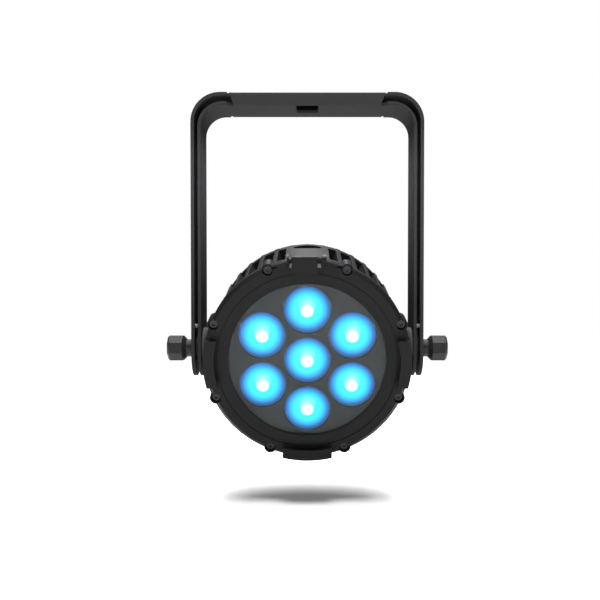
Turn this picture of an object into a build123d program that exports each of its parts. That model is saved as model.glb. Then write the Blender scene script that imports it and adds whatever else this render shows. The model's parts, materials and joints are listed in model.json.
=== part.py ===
from build123d import *
from math import cos, radians, sin, sqrt, tan
import os

# A par can light: seven lens discs behind one glass in a round vented head, which hangs by two
# clamping knobs in a nested pair of yokes. Millimetres.
# X runs across the yokes, +Z is up and the lamp faces -Y, tipped down a little at rest.
# The origin is where the clamp bolt's axis meets the top face of the outer yoke.

# ---- The yokes ----
strip_width = 40.0          # both yokes are bent from strip this wide
strip_thick = 3.0
yoke_width = 206.0          # outside of the outer yoke
pivot_drop = 225.4          # top face of the outer yoke down to the pivot axis
arm_tail = 5.0              # pivot axis down to the centre of the arm's rounded end
outer_corner = 26.0         # outside bend radius of the outer yoke
inner_corner = 22.0         # outside bend radius of the inner yoke
arm_gap = 3.0               # space between nested arms
top_gap = 5.1               # space between nested top plates
lip_base = 69.0             # half-length of each turned lip at its bend
lip_tip = 65.0              # half-length of each turned lip at its free edge
lip_bend = 2.0              # outside radius of a lip's bend
lip_clearance = 0.5         # nested yoke's edge to the other yoke's lip
notch_width = 1.8           # bend relief at each end of a lip
clamp_bore = 13.0           # hole for an M12 clamp bolt
slot_width = 19.5           # inner yoke's slot, across the flats of the clamp's nut
slot_back = 5.5             # slot's closed end behind the clamp bolt's axis
slot_corner = 4.0

# ---- The pivot hardware ----
stud_diameter = 10.0
stud_clearance = 0.6        # on the diameter, through plates and rings
thread_clearance = 0.05     # stud to a threaded or glued bore, on the radius
washer_diameter = 22.0
washer_thick = 1.5
knob_flats = 22.8           # across the flats
knob_sides = 8
knob_length = 17.0
knob_inner_chamfer = 3.4
knob_outer_chamfer = 1.8
stud_chamfer = 1.0
collar_diameter = 16.0
collar_length = 5.0
knob_dish = 13.0            # shallow round recess in the knob's end
knob_dish_depth = 1.2
stud_in_knob = 14.0         # length of stud held by the knob
stud_reach = 12.0           # length of stud held by the trunnion
spacer_diameter = 24.0
disc_diameter = 38.0
disc_thick = 3.0
trunnion_diameter = 18.0
trunnion_depth = 1.0        # inner end of the insert outside the drum's bore
seat_clearance = 0.1        # fixed round pieces in their holes, on the radius
glide_diameter = 3.6
glide_stem = 2.4
glide_forward = 16.0        # glide pin in front of the arm's middle
glide_height = 20.0         # glide pin above the pivot
slide_clearance = 0.3       # between pieces that pass each other

# ---- The head, by distance forward of the pivot along the lamp's axis ----
head_tilt = 16.5            # degrees below level at rest
lens_face = 37.0
mask_front = 37.2
mask_thick = 1.8
glass_seal = 0.8
glass_thick = 2.5
bezel_front = 42.5
flange_face = 30.0          # bezel meets the housing here
flange_back = 20.0          # slots in the drum start here
drum_rear = -46.0
rear_ring_thick = 6.0
cover_face = -98.0          # outer face of the rear cover

# ---- The drum ----
drum_radius = 87.5
drum_wall = 11.5            # depth of the ribs
flange_bore = 72.3
rib_count = 38
rib_width = 4.2
rib_proud = 1.0             # ribs stand out past the rear ring
top_pad_angle = 12.6        # degrees each side of the top that stay solid
scoop_length = 16.0
scoop_width = 26.0
scoop_centre = -31.0
boss_flat = 13.5            # half-height of the side boss at its outer face
boss_root = 33.0            # half-height of the side boss where it meets the ribs
boss_root_side = 81.0       # distance from the lamp's axis to that point
boss_length = 46.0
boss_inner_side = 38.0      # where the boss's sides start, inside the bore
pad_diameter = 40.0

# ---- The bezel ----
bezel_radius = 89.3
bezel_opening = 68.4
bezel_step = 73.0           # radius where the inner slope meets the flat front
bezel_groove = 78.0
groove_width = 0.8
groove_depth = 0.8
bezel_chamfer = 3.2
bezel_lip_edge = 0.6
glass_pocket = 72.0         # radius of the pocket the glass sits in
glass_clearance = 0.3
screw_circle = 86.4
screw_count = 8
ear_radius = 5.6
ear_front = 41.0
screw_head = 7.0
screw_head_height = 3.0
screw_shank = 4.0
screw_recess = 2.4          # head's top below the ear's face
recess_radius = 4.3         # round pocket a screw head sits in
socket_flats = 3.0          # hexagon socket in a screw head
thread_depth = 6.0

# ---- Accessory clips and latch ----
clip_gap = 5.4              # space for an accessory frame's rim
clip_lip = 3.0
clip_inner = 79.5
clip_outer = 89.0
clip_riser = 3.5
side_clip_length = 42.0
bottom_clip_length = 43.5
clip_seat = 4.0             # thickness of the pad under a clip
clip_screw = 2.5
clip_screw_head = 4.4
latch_height = 89.9         # hinge pin above the lamp's axis
latch_setting = 47.6        # hinge pin forward of the pivot
latch_tip = 78.8            # free edge above the lamp's axis
latch_left = -13.0
latch_right = 8.3
latch_corner = 0.8
barrel_radius = 3.3
pin_radius = 1.5
lug_radius = 4.2
lug_thick_left = 1.7
lug_thick_right = 4.0
lug_gap = 2.1
lug_root = 38.0             # back of the lugs, inside the bezel
notch_floor = 82.5          # notch behind the latch, back to the pad: its floor above the lamp's axis
notch_front = 46.0
notch_height = 12.0
shoulder_reach = 14.0       # flat shoulder beside each lug
shoulder_proud = 0.8
spring_room = 3.4
spring_wire = 0.8
spring_turns = 3

# ---- Optics ----
lens_pitch = 44.9
lens_radius = 20.4
lens_rim = 3.5
lens_throat = 7.0
lens_cone = 9.5
lens_step = 1.0             # rim stands out past the cone by this
holder_wall = 1.5
board_thick = 1.6
board_radius = 68.0
emitter_size = 9.0
emitter_base = 1.2
emitter_dome = 3.4
emitter_height = 0.9

# ---- Heat sink ----
sink_radius = 75.0
sink_base = 6.0
sink_hub = 22.0
fin_thick = 2.0
fin_back = -42.0
lead_diameter = 6.0
lead_hole = 10.0

# ---- Rear compartment ----
plate_thick = 2.0
gasket_thick = 1.0
gasket_width = 3.0          # front gasket
rim_radius = 86.0
rim_inner = 75.0
rim_thick = 5.0
cover_foot = 77.5
cover_top = 73.0
cover_wall = 3.0
panel_radius = 67.0         # floor of the cover, inside its turned-in edge
cover_corner = 4.0
rear_screw_circle = 81.8
rear_screw_count = 6
rear_screw_head = 6.6
supply_size = (96.0, 56.0, 24.0)
control_size = (66.0, 46.0, 1.6)
control_middle = 26.0
pillar_height = 4.0
pillar_radius = 2.6
pillar_inset = 3.5
display_size = (50.0, 18.0)
window_size = (44.0, 14.0)
window_thick = 2.4
display_middle = 34.0
button_row = 16.0
button_pitch = 15.0
button_radius = 4.0
button_proud = 1.6
button_flange = 1.0
button_flange_radius = 5.2
button_chamfer = 0.4

# ---- Sockets, vent and safety eye on the rear face ----
socket_column = 16.0
socket_rows = (-10.0, -43.0)
socket_flange = (26.0, 31.0, 2.0)
socket_body = 11.8
socket_depth = 18.0
socket_cavity = 9.6
socket_hollow = 15.0        # depth of the open cavity
flange_corner = 2.0
pin_length = 8.0
contact_radius = 1.2
contact_circle = 4.8
contact_count = 3
insert_radius = 7.5         # outlet's contact block
insert_length = 6.0
contact_hole = 5.0          # depth of the holes in it
flange_screw = 2.8
flange_screw_head = 5.0
flange_screw_place = (9.5, 12.0)
vent_place = (46.0, 20.0)
vent_radius = 6.0
vent_stem = 3.8
vent_height = 3.0
vent_chamfer = 0.8
vent_grip = 1.0             # length of stem inside the panel
eye_place = 57.0
eye_base = (24.0, 14.0, 3.0)
eye_thick = 3.0
eye_reach = 15.0
eye_bore = 8.4
eye_screw_place = 8.5

# ---- Places worked out from the sizes above ----
lean = radians(head_tilt)
pivot = (0, 0, -pivot_drop)
forward = (0, -cos(lean), -sin(lean))
upward = (0, -sin(lean), cos(lean))
backward = (0, cos(lean), sin(lean))
head = Plane(origin=pivot, x_dir=(1, 0, 0), z_dir=forward)
lamp_axis = Axis(pivot, forward)
# Half-section through the head: radius along local x, distance forward along local y.
section = Plane(origin=pivot, x_dir=(1, 0, 0), z_dir=(0, sin(lean), -cos(lean)))
top_down = Plane(origin=pivot, x_dir=(1, 0, 0), z_dir=upward)
rear_face = Plane(origin=head.offset(cover_face).origin, x_dir=(-1, 0, 0), z_dir=backward)

arm_end = pivot_drop + arm_tail
arm_round = strip_width / 2
outer_half = yoke_width / 2
outer_inside = outer_half - strip_thick
inner_half = outer_inside - arm_gap
inner_inside = inner_half - strip_thick
inner_top = -(strip_thick + top_gap)
inner_under = inner_top - strip_thick
lip_inside = arm_round - strip_thick
plate_edge = lip_inside - lip_clearance
notch_depth = arm_round - plate_edge
notch_middle = lip_base + notch_width / 2
stud_hole = (stud_diameter + stud_clearance) / 2
stud_radius = stud_diameter / 2
boss_face = inner_inside - disc_thick
washer_face = outer_half + washer_thick
knob_face = washer_face + collar_length
knob_end = knob_face + knob_length
stud_inner_end = boss_face - stud_reach
stud_outer_end = washer_face + stud_in_knob
drum_bore = drum_radius - drum_wall
trunnion_inner = drum_bore + trunnion_depth
screw_phase = 180 / screw_count
ear_seat = ear_front - screw_recess - screw_head_height
latch_top = latch_height + barrel_radius
mask_back = mask_front - mask_thick
glass_back = mask_front + glass_seal
glass_front = glass_back + glass_thick
lip_back = bezel_front + clip_gap
lip_front = lip_back + clip_lip
board_front = flange_back + board_thick
cover_mouth = drum_rear - plate_thick - gasket_thick
rim_back = cover_mouth - rim_thick
ring_front = drum_rear + rear_ring_thick
cover_floor = cover_face + cover_wall
lug_left = latch_left - lug_gap - lug_thick_left
lug_right = latch_right + spring_room + lug_thick_right
notch_length = latch_right + spring_room - latch_left + lug_gap
sides = {"left": -1, "right": 1}
ring_angles = [60 * step + 30 for step in range(6)]
lens_spots = [(0, 0)] + [
    (lens_pitch * cos(radians(angle)), lens_pitch * sin(radians(angle))) for angle in ring_angles
]
clips = {
    "left_clip": (180, side_clip_length),
    "right_clip": (0, side_clip_length),
    "bottom_clip": (270, bottom_clip_length),
}

os.makedirs("parts", exist_ok=True)


def side_plane(sign, distance):
    """Plane square to the pivot axis at a distance from the middle, facing outwards."""
    return Plane(origin=(sign * distance, 0, -pivot_drop), x_dir=(0, 1, 0), z_dir=(sign, 0, 0))


def profile_plane(across):
    """Plane square to X at a place across the head: height above the axis, then distance forward."""
    return Plane(origin=(across, 0, -pivot_drop), x_dir=upward, z_dir=(1, 0, 0))


def strip_outline(half_width, top, corner):
    """Front view of a strip bent into an upside-down U, down to the arms' lowest point."""
    bottom = -arm_end - arm_round
    inside = half_width - strip_thick
    under = top - strip_thick
    with BuildSketch(Plane.XZ.offset(arm_round)) as outline:
        with BuildLine():
            FilletPolyline(
                (-half_width, bottom),
                (-half_width, top),
                (half_width, top),
                (half_width, bottom),
                radius=corner,
            )
            Line((half_width, bottom), (inside, bottom))
            FilletPolyline(
                (inside, bottom),
                (inside, under),
                (-inside, under),
                (-inside, bottom),
                radius=corner - strip_thick,
            )
            Line((-inside, bottom), (-half_width, bottom))
        make_face()
    return outline.sketch


def lip_outline(plane, base_height, tip_height):
    """Turned lip seen square on, a little shorter at its free edge than at its bend."""
    with BuildSketch(plane) as outline:
        with BuildLine():
            Polyline(
                (-lip_base, base_height),
                (lip_base, base_height),
                (lip_tip, tip_height),
                (-lip_tip, tip_height),
                close=True,
            )
        make_face()
    return outline.sketch


def arm_profile():
    """Side view of a yoke: straight strip with half-round arm ends."""
    with BuildSketch(Plane.YZ.offset(-outer_half)) as profile:
        with Locations((0, -arm_end)):
            Circle(arm_round)
        with Locations((0, -arm_end / 2)):
            Rectangle(strip_width, arm_end)
    return profile.sketch


def latch_notch():
    """Side view of the notch behind the latch, on the plane at the notch's left side."""
    with BuildSketch(profile_plane(latch_left - lug_gap)) as notch:
        with Locations((notch_floor, flange_back)):
            Rectangle(notch_height, notch_front - flange_back, align=(Align.MIN, Align.MIN))
    return notch.sketch


def clip_band(plane, angle, length, inner, outer):
    """Part of a ring around the lamp's axis, cut off square at both ends."""
    middle = (inner + outer) / 2
    with BuildSketch(plane) as band:
        Circle(outer)
        Circle(inner, mode=Mode.SUBTRACT)
        with Locations((middle * cos(radians(angle)), middle * sin(radians(angle)))):
            Rectangle(outer, length, rotation=angle, mode=Mode.INTERSECT)
    return band.sketch


def clip_screw_spots(angle, length):
    """Two screw places along the arc of a clip's riser, a quarter of its length from the middle."""
    out = clip_outer - clip_riser / 2
    turn = radians(angle)
    spread = length / 4 / out
    return [(out * cos(turn + shift), out * sin(turn + shift)) for shift in (-spread, spread)]


def boss_outline(sign):
    """Section of a side boss at the flange: full height at the ribs, narrowing to its outer face."""
    with BuildSketch(head.offset(flange_back)) as outline:
        with BuildLine():
            Polyline(
                (sign * boss_inner_side, boss_root),
                (sign * boss_root_side, boss_root),
                (sign * boss_face, boss_flat),
                (sign * boss_face, -boss_flat),
                (sign * boss_root_side, -boss_root),
                (sign * boss_inner_side, -boss_root),
                close=True,
            )
        make_face()
        Circle(drum_bore, mode=Mode.SUBTRACT)
    return outline.sketch


# Wedge that the solid pad over the top fills, from the lamp's axis outwards.
pad_half = drum_radius * tan(radians(top_pad_angle))
with BuildSketch() as pad_shape:
    with BuildLine():
        Polyline((0, 0), (pad_half, drum_radius), (-pad_half, drum_radius), close=True)
    make_face()
pad_wedge = pad_shape.sketch


# ======== Yokes ========

# Outer yoke: carries the clamp bolt; its front edge is turned down over the inner yoke.
outer_outline = strip_outline(outer_half, 0, outer_corner)
outer_lip = lip_outline(Plane.XZ.offset(arm_round), 0, inner_under)
yoke_profile = arm_profile()
with BuildPart() as outer_yoke:
    extrude(outer_outline, amount=strip_width, dir=(0, 1, 0))
    extrude(yoke_profile, amount=yoke_width, dir=(1, 0, 0), mode=Mode.INTERSECT)
    extrude(outer_lip, amount=strip_thick, dir=(0, 1, 0))
    with BuildSketch(Plane.XY):
        with Locations((0, (plate_edge + arm_round) / 2)):
            Rectangle(2 * (lip_base + notch_width), notch_depth)
        with Locations(
            (-notch_middle, -arm_round + notch_depth / 2),
            (notch_middle, -arm_round + notch_depth / 2),
        ):
            Rectangle(notch_width, notch_depth)
        Circle(clamp_bore / 2)
    extrude(amount=-strip_thick, mode=Mode.SUBTRACT)
    with BuildSketch(Plane.YZ.offset(-outer_half)):
        with Locations((0, -pivot_drop)):
            Circle(stud_hole)
    extrude(amount=yoke_width, mode=Mode.SUBTRACT)
    for sign in sides.values():
        with BuildSketch(side_plane(sign, outer_inside)):
            with Locations((-glide_forward, sign * glide_height)):
                Circle(glide_stem / 2 + thread_clearance)
        extrude(amount=strip_thick, mode=Mode.SUBTRACT)
    top_edges = outer_yoke.edges().filter_by(Axis.X).group_by(Axis.Z)[-1]
    fillet(top_edges.group_by(Axis.Y)[0].sort_by(SortBy.LENGTH)[-1], lip_bend)
outer_yoke.part.label = "outer_yoke"
export_step(outer_yoke.part, "parts/outer_yoke.step")

# Inner yoke: nests inside and swings back as a floor stand; its rear edge is turned up.
inner_outline = strip_outline(inner_half, inner_top, inner_corner)
inner_lip = lip_outline(Plane.XZ.offset(-arm_round), inner_under, 0)
with BuildPart() as inner_yoke:
    extrude(inner_outline, amount=strip_width, dir=(0, 1, 0))
    extrude(yoke_profile, amount=yoke_width, dir=(1, 0, 0), mode=Mode.INTERSECT)
    extrude(inner_lip, amount=strip_thick, dir=(0, -1, 0))
    with BuildSketch(Plane.XY.offset(inner_top)):
        with Locations((0, -(plate_edge + arm_round) / 2)):
            Rectangle(2 * (lip_base + notch_width), notch_depth)
        with Locations(
            (-notch_middle, arm_round - notch_depth / 2),
            (notch_middle, arm_round - notch_depth / 2),
        ):
            Rectangle(notch_width, notch_depth)
    extrude(amount=-strip_thick, mode=Mode.SUBTRACT)
    with BuildSketch(Plane.XY.offset(inner_top)) as bolt_slot:
        with Locations((0, (slot_back - arm_round) / 2)):
            Rectangle(slot_width, slot_back + arm_round)
        fillet(bolt_slot.vertices().group_by(Axis.Y)[-1], slot_corner)
    extrude(amount=-strip_thick, mode=Mode.SUBTRACT)
    with BuildSketch(Plane.YZ.offset(-outer_half)):
        with Locations((0, -pivot_drop)):
            Circle(stud_hole)
    extrude(amount=yoke_width, mode=Mode.SUBTRACT)
    under_edges = inner_yoke.edges().filter_by(Axis.X).group_by(Axis.Z)
    under_group = [group for group in under_edges if abs(group[0].center().Z - inner_under) < 0.01][0]
    fillet(under_group.group_by(Axis.Y)[-1].sort_by(SortBy.LENGTH)[-1], lip_bend)
inner_yoke.part.label = "inner_yoke"
export_step(inner_yoke.part, "parts/inner_yoke.step")

# Glide pins: nylon buttons pressed into the outer arms, which keep the nested arms apart.
with BuildPart() as glide_pins:
    for sign in sides.values():
        with BuildSketch(side_plane(sign, outer_inside)):
            with Locations((-glide_forward, sign * glide_height)):
                Circle(glide_diameter / 2)
        extrude(amount=-(arm_gap - slide_clearance))
        with BuildSketch(side_plane(sign, outer_inside)):
            with Locations((-glide_forward, sign * glide_height)):
                Circle(glide_stem / 2)
        extrude(amount=strip_thick - slide_clearance)
glide_pins.part.label = "glide_pins"
export_step(glide_pins.part, "parts/glide_pins.step")


# ======== Pivot hardware, the same on both sides ========

# Spacer rings between the nested arms.
with BuildPart() as yoke_spacers:
    for sign in sides.values():
        with BuildSketch(side_plane(sign, inner_half)):
            Circle(spacer_diameter / 2)
            Circle(stud_hole, mode=Mode.SUBTRACT)
        extrude(amount=arm_gap)
yoke_spacers.part.label = "yoke_spacers"
export_step(yoke_spacers.part, "parts/yoke_spacers.step")

# Fibre discs that the inner arms are squeezed against.
with BuildPart() as friction_discs:
    for sign in sides.values():
        with BuildSketch(side_plane(sign, boss_face)):
            Circle(disc_diameter / 2)
            Circle(stud_hole, mode=Mode.SUBTRACT)
        extrude(amount=disc_thick)
friction_discs.part.label = "friction_discs"
export_step(friction_discs.part, "parts/friction_discs.step")

# Threaded inserts in the housing's side bosses.
with BuildPart() as trunnions:
    for sign in sides.values():
        with BuildSketch(side_plane(sign, trunnion_inner)):
            Circle(trunnion_diameter / 2)
            Circle(stud_radius + thread_clearance, mode=Mode.SUBTRACT)
        extrude(amount=boss_face - trunnion_inner)
trunnions.part.label = "trunnions"
export_step(trunnions.part, "parts/trunnions.step")

# Plain washers under the knobs.
with BuildPart() as washers:
    for sign in sides.values():
        with BuildSketch(side_plane(sign, outer_half)):
            Circle(washer_diameter / 2)
            Circle(stud_hole, mode=Mode.SUBTRACT)
        extrude(amount=washer_thick)
washers.part.label = "washers"
export_step(washers.part, "parts/washers.step")

for side, sign in sides.items():
    # Clamping knob: eight-sided head on a round collar.
    with BuildPart() as knob:
        with BuildSketch(side_plane(sign, knob_face)):
            RegularPolygon(knob_flats / 2, knob_sides, major_radius=False, rotation=180 / knob_sides)
        extrude(amount=knob_length)
        outward = Axis(pivot, (sign, 0, 0))
        chamfer(knob.faces().sort_by(outward)[-1].edges(), knob_outer_chamfer)
        chamfer(knob.faces().sort_by(outward)[0].edges(), knob_inner_chamfer)
        with BuildSketch(side_plane(sign, washer_face)):
            Circle(collar_diameter / 2)
        extrude(amount=collar_length)
        with BuildSketch(side_plane(sign, knob_end)):
            Circle(knob_dish / 2)
        extrude(amount=-knob_dish_depth, mode=Mode.SUBTRACT)
        with BuildSketch(side_plane(sign, washer_face)):
            Circle(stud_radius + thread_clearance)
        extrude(amount=stud_in_knob + slide_clearance, mode=Mode.SUBTRACT)
    knob.part.label = f"{side}_knob"
    export_step(knob.part, f"parts/{side}_knob.step")

    # Threaded stud moulded into the knob, screwed through both yokes into the trunnion.
    with BuildPart() as knob_stud:
        with BuildSketch(side_plane(sign, stud_inner_end)):
            Circle(stud_radius)
        extrude(amount=stud_outer_end - stud_inner_end)
        chamfer(knob_stud.faces().sort_by(outward)[0].edges(), stud_chamfer)
    knob_stud.part.label = f"{side}_knob_stud"
    export_step(knob_stud.part, f"parts/{side}_knob_stud.step")


# ======== Drum and heat sink ========

# The drum is one casting in four pieces that meet face to face: front flange, ribs with the
# solid pad over the top, side bosses, and rear ring.
with BuildPart() as front_flange:
    with BuildSketch(head.offset(flange_back)):
        Circle(drum_radius)
        with PolarLocations(screw_circle, screw_count, start_angle=screw_phase):
            Circle(ear_radius)
        Circle(flange_bore, mode=Mode.SUBTRACT)
    extrude(amount=flange_face - flange_back)
    with BuildSketch(head.offset(flange_face)):
        with PolarLocations(screw_circle, screw_count, start_angle=screw_phase):
            Circle(screw_shank / 2 + thread_clearance)
    extrude(amount=-thread_depth - slide_clearance, mode=Mode.SUBTRACT)
    with BuildSketch(head.offset(flange_face)):
        Circle(drum_bore + gasket_width + 2 * slide_clearance)
        Circle(drum_bore, mode=Mode.SUBTRACT)
    extrude(amount=-gasket_thick, mode=Mode.SUBTRACT)
    extrude(latch_notch(), amount=notch_length, dir=(1, 0, 0), mode=Mode.SUBTRACT)
front_flange.part.label = "front_flange"
export_step(front_flange.part, "parts/front_flange.step")

with BuildPart() as drum_ribs:
    with BuildSketch(head.offset(ring_front)):
        with PolarLocations(drum_radius - drum_wall / 2, rib_count, start_angle=90):
            Rectangle(drum_wall, rib_width)
        Circle(drum_radius, mode=Mode.INTERSECT)
        Circle(drum_bore, mode=Mode.SUBTRACT)
        add(pad_wedge, mode=Mode.SUBTRACT)
    extrude(amount=flange_back - ring_front)
    for sign in sides.values():
        extrude(boss_outline(sign), amount=boss_length, dir=backward, mode=Mode.SUBTRACT)
drum_ribs.part.label = "drum_ribs"
export_step(drum_ribs.part, "parts/drum_ribs.step")

with BuildPart() as top_pad:
    with BuildSketch(head.offset(ring_front)):
        add(pad_wedge)
        Circle(drum_radius, mode=Mode.INTERSECT)
        Circle(drum_bore, mode=Mode.SUBTRACT)
    extrude(amount=flange_back - ring_front)
    with BuildSketch(top_down.offset(drum_bore / 2)):
        with Locations((0, -scoop_centre)):
            Ellipse(scoop_width / 2, scoop_length / 2)
    extrude(amount=drum_radius, mode=Mode.SUBTRACT)
top_pad.part.label = "top_pad"
export_step(top_pad.part, "parts/top_pad.step")

with BuildPart() as side_bosses:
    for sign in sides.values():
        extrude(boss_outline(sign), amount=boss_length, dir=backward)
        with BuildSketch(side_plane(sign, trunnion_inner)):
            Circle(pad_diameter / 2)
        extrude(amount=boss_face - trunnion_inner)
    with BuildSketch(head.offset(flange_back)):
        Circle(drum_bore)
    extrude(amount=-boss_length, mode=Mode.SUBTRACT)
    for sign in sides.values():
        with BuildSketch(side_plane(sign, drum_bore / 2)):
            Circle(trunnion_diameter / 2 + seat_clearance)
        extrude(amount=drum_radius, mode=Mode.SUBTRACT)
side_bosses.part.label = "side_bosses"
export_step(side_bosses.part, "parts/side_bosses.step")

with BuildPart() as rear_ring:
    with BuildSketch(head.offset(drum_rear)):
        with PolarLocations(drum_radius - drum_wall / 2, rib_count, start_angle=90):
            Rectangle(drum_wall, rib_width)
        Circle(drum_radius, mode=Mode.INTERSECT)
        Circle(drum_radius - rib_proud)
        Circle(drum_bore, mode=Mode.SUBTRACT)
        with PolarLocations(rear_screw_circle, rear_screw_count):
            Circle(screw_shank / 2 + thread_clearance, mode=Mode.SUBTRACT)
    extrude(amount=rear_ring_thick)
rear_ring.part.label = "rear_ring"
export_step(rear_ring.part, "parts/rear_ring.step")

# Heat sink: base plate behind the lamps with a hub, and straight radial fins bonded to both.
with BuildPart() as heat_sink:
    with BuildSketch(head.offset(flange_back)):
        Circle(sink_radius)
        Circle(lead_hole / 2, mode=Mode.SUBTRACT)
    extrude(amount=-sink_base)
    with BuildSketch(head.offset(fin_back)):
        Circle(sink_hub)
        Circle(lead_hole / 2, mode=Mode.SUBTRACT)
    extrude(amount=flange_back - sink_base - fin_back)
heat_sink.part.label = "heat_sink"
export_step(heat_sink.part, "parts/heat_sink.step")

with BuildPart() as heat_fins:
    with BuildSketch(head.offset(fin_back)):
        with PolarLocations(sink_radius / 2, rib_count, start_angle=90 + 180 / rib_count):
            Rectangle(sink_radius, fin_thick)
        Circle(sink_radius, mode=Mode.INTERSECT)
        Circle(sink_hub, mode=Mode.SUBTRACT)
    extrude(amount=flange_back - sink_base - fin_back)
heat_fins.part.label = "heat_fins"
export_step(heat_fins.part, "parts/heat_fins.step")


# ======== Bezel, glass and lens mask ========

# Gasket in the groove of the housing's front flange.
with BuildPart() as bezel_gasket:
    with BuildSketch(head.offset(flange_face)):
        Circle(drum_bore + gasket_width + slide_clearance)
        Circle(drum_bore + slide_clearance, mode=Mode.SUBTRACT)
    extrude(amount=-gasket_thick)
bezel_gasket.part.label = "bezel_gasket"
export_step(bezel_gasket.part, "parts/bezel_gasket.step")

# Bezel: cast front ring with screw ears, pads for the clips and two hinge lugs.
with BuildPart() as bezel:
    with BuildSketch(section):
        with BuildLine():
            Polyline(
                (bezel_opening, glass_front),
                (bezel_opening, glass_front + bezel_lip_edge),
                (bezel_step, bezel_front),
                (bezel_groove - groove_width / 2, bezel_front),
                (bezel_groove - groove_width / 2, bezel_front - groove_depth),
                (bezel_groove + groove_width / 2, bezel_front - groove_depth),
                (bezel_groove + groove_width / 2, bezel_front),
                (bezel_radius - bezel_chamfer, bezel_front),
                (bezel_radius, bezel_front - bezel_chamfer),
                (bezel_radius, flange_face),
                (glass_pocket, flange_face),
                (glass_pocket, glass_front),
                close=True,
            )
        make_face()
    revolve(axis=lamp_axis)
    with BuildSketch(head.offset(flange_face)):
        with PolarLocations(screw_circle, screw_count, start_angle=screw_phase):
            Circle(ear_radius)
    extrude(amount=ear_front - flange_face)
    for angle, length in clips.values():
        seat = clip_band(head.offset(bezel_front), angle, length, bezel_groove + groove_width, clip_outer)
        extrude(seat, amount=clip_seat, dir=backward)
    for inner in (lug_left, lug_right):
        outer = inner + (shoulder_reach if inner > 0 else -shoulder_reach)
        with BuildSketch(head.offset(lug_root)):
            with BuildLine():
                Polyline(
                    (inner, notch_floor),
                    (inner, sqrt(bezel_radius**2 - inner**2)),
                    (outer, sqrt(bezel_radius**2 - outer**2)),
                    close=True,
                )
            make_face()
        extrude(amount=bezel_front + shoulder_proud - lug_root)
    for across, thick in ((lug_left, lug_thick_left), (lug_right - lug_thick_right, lug_thick_right)):
        with BuildSketch(profile_plane(across)):
            with Locations((latch_height, latch_setting)):
                Circle(lug_radius)
            with Locations((latch_height, (lug_root + latch_setting) / 2)):
                Rectangle(2 * lug_radius, latch_setting - lug_root)
        extrude(amount=thick)
    extrude(latch_notch(), amount=notch_length, dir=(1, 0, 0), mode=Mode.SUBTRACT)
    with BuildSketch(profile_plane(lug_left)):
        with Locations((latch_height, latch_setting)):
            Circle(pin_radius + thread_clearance)
    extrude(amount=lug_right - lug_left, mode=Mode.SUBTRACT)
    with BuildSketch(head.offset(flange_face)):
        with PolarLocations(screw_circle, screw_count, start_angle=screw_phase):
            Circle(screw_shank / 2 + seat_clearance)
    extrude(amount=bezel_front - flange_face, mode=Mode.SUBTRACT)
    with BuildSketch(head.offset(ear_seat)):
        with PolarLocations(screw_circle, screw_count, start_angle=screw_phase):
            Circle(recess_radius)
    extrude(amount=bezel_front + shoulder_proud - ear_seat, mode=Mode.SUBTRACT)
    for angle, length in clips.values():
        with BuildSketch(head.offset(flange_face)):
            with Locations(*clip_screw_spots(angle, length)):
                Circle(clip_screw / 2 + thread_clearance)
        extrude(amount=bezel_front - flange_face, mode=Mode.SUBTRACT)
        with BuildSketch(head.offset(flange_face)):
            with Locations(*clip_screw_spots(angle, length)):
                Circle(clip_screw_head / 2 + thread_clearance)
        extrude(amount=clip_screw_head / 2, mode=Mode.SUBTRACT)
bezel.part.label = "bezel"
export_step(bezel.part, "parts/bezel.step")

# Front glass, its seal and the dark mask around the lenses, stacked in the bezel's pocket.
with BuildPart() as front_glass:
    with BuildSketch(head.offset(glass_back)):
        Circle(glass_pocket - glass_clearance)
    extrude(amount=glass_thick)
front_glass.part.label = "front_glass"
export_step(front_glass.part, "parts/front_glass.step")

with BuildPart() as glass_gasket:
    with BuildSketch(head.offset(mask_front)):
        Circle(glass_pocket - glass_clearance)
        Circle(glass_pocket - glass_clearance - gasket_width, mode=Mode.SUBTRACT)
    extrude(amount=glass_seal)
glass_gasket.part.label = "glass_gasket"
export_step(glass_gasket.part, "parts/glass_gasket.step")

with BuildPart() as lens_mask:
    with BuildSketch(head.offset(mask_back)):
        Circle(glass_pocket - glass_clearance)
        with Locations(*lens_spots):
            Circle(lens_radius + slide_clearance, mode=Mode.SUBTRACT)
    extrude(amount=mask_thick)
lens_mask.part.label = "lens_mask"
export_step(lens_mask.part, "parts/lens_mask.step")

# Bezel screws: cap heads with a hexagon socket.
with BuildPart() as bezel_screws:
    with BuildSketch(head.offset(flange_face - thread_depth)):
        with PolarLocations(screw_circle, screw_count, start_angle=screw_phase):
            Circle(screw_shank / 2)
    extrude(amount=ear_seat - flange_face + thread_depth)
    with BuildSketch(head.offset(ear_seat)):
        with PolarLocations(screw_circle, screw_count, start_angle=screw_phase):
            Circle(screw_head / 2)
    extrude(amount=screw_head_height)
    with BuildSketch(head.offset(ear_seat + screw_head_height)):
        with PolarLocations(screw_circle, screw_count, start_angle=screw_phase):
            RegularPolygon(socket_flats / 2, 6, major_radius=False)
    extrude(amount=-screw_head_height / 2, mode=Mode.SUBTRACT)
bezel_screws.part.label = "bezel_screws"
export_step(bezel_screws.part, "parts/bezel_screws.step")


# ======== Accessory clips and latch ========

# Clips: a riser on the bezel and a lip in front of it, which hold an accessory frame's rim.
for clip_name, (angle, length) in clips.items():
    riser = clip_band(head.offset(bezel_front), angle, length, clip_outer - clip_riser, clip_outer)
    lip = clip_band(head.offset(lip_back), angle, length, clip_inner, clip_outer)
    with BuildPart() as clip:
        extrude(riser, amount=clip_gap, dir=forward)
        extrude(lip, amount=clip_lip, dir=forward)
        with BuildSketch(head.offset(bezel_front)):
            with Locations(*clip_screw_spots(angle, length)):
                Circle(clip_screw / 2 + thread_clearance)
        extrude(amount=clip_gap, mode=Mode.SUBTRACT)
    clip.part.label = clip_name
    export_step(clip.part, f"parts/{clip_name}.step")

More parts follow.
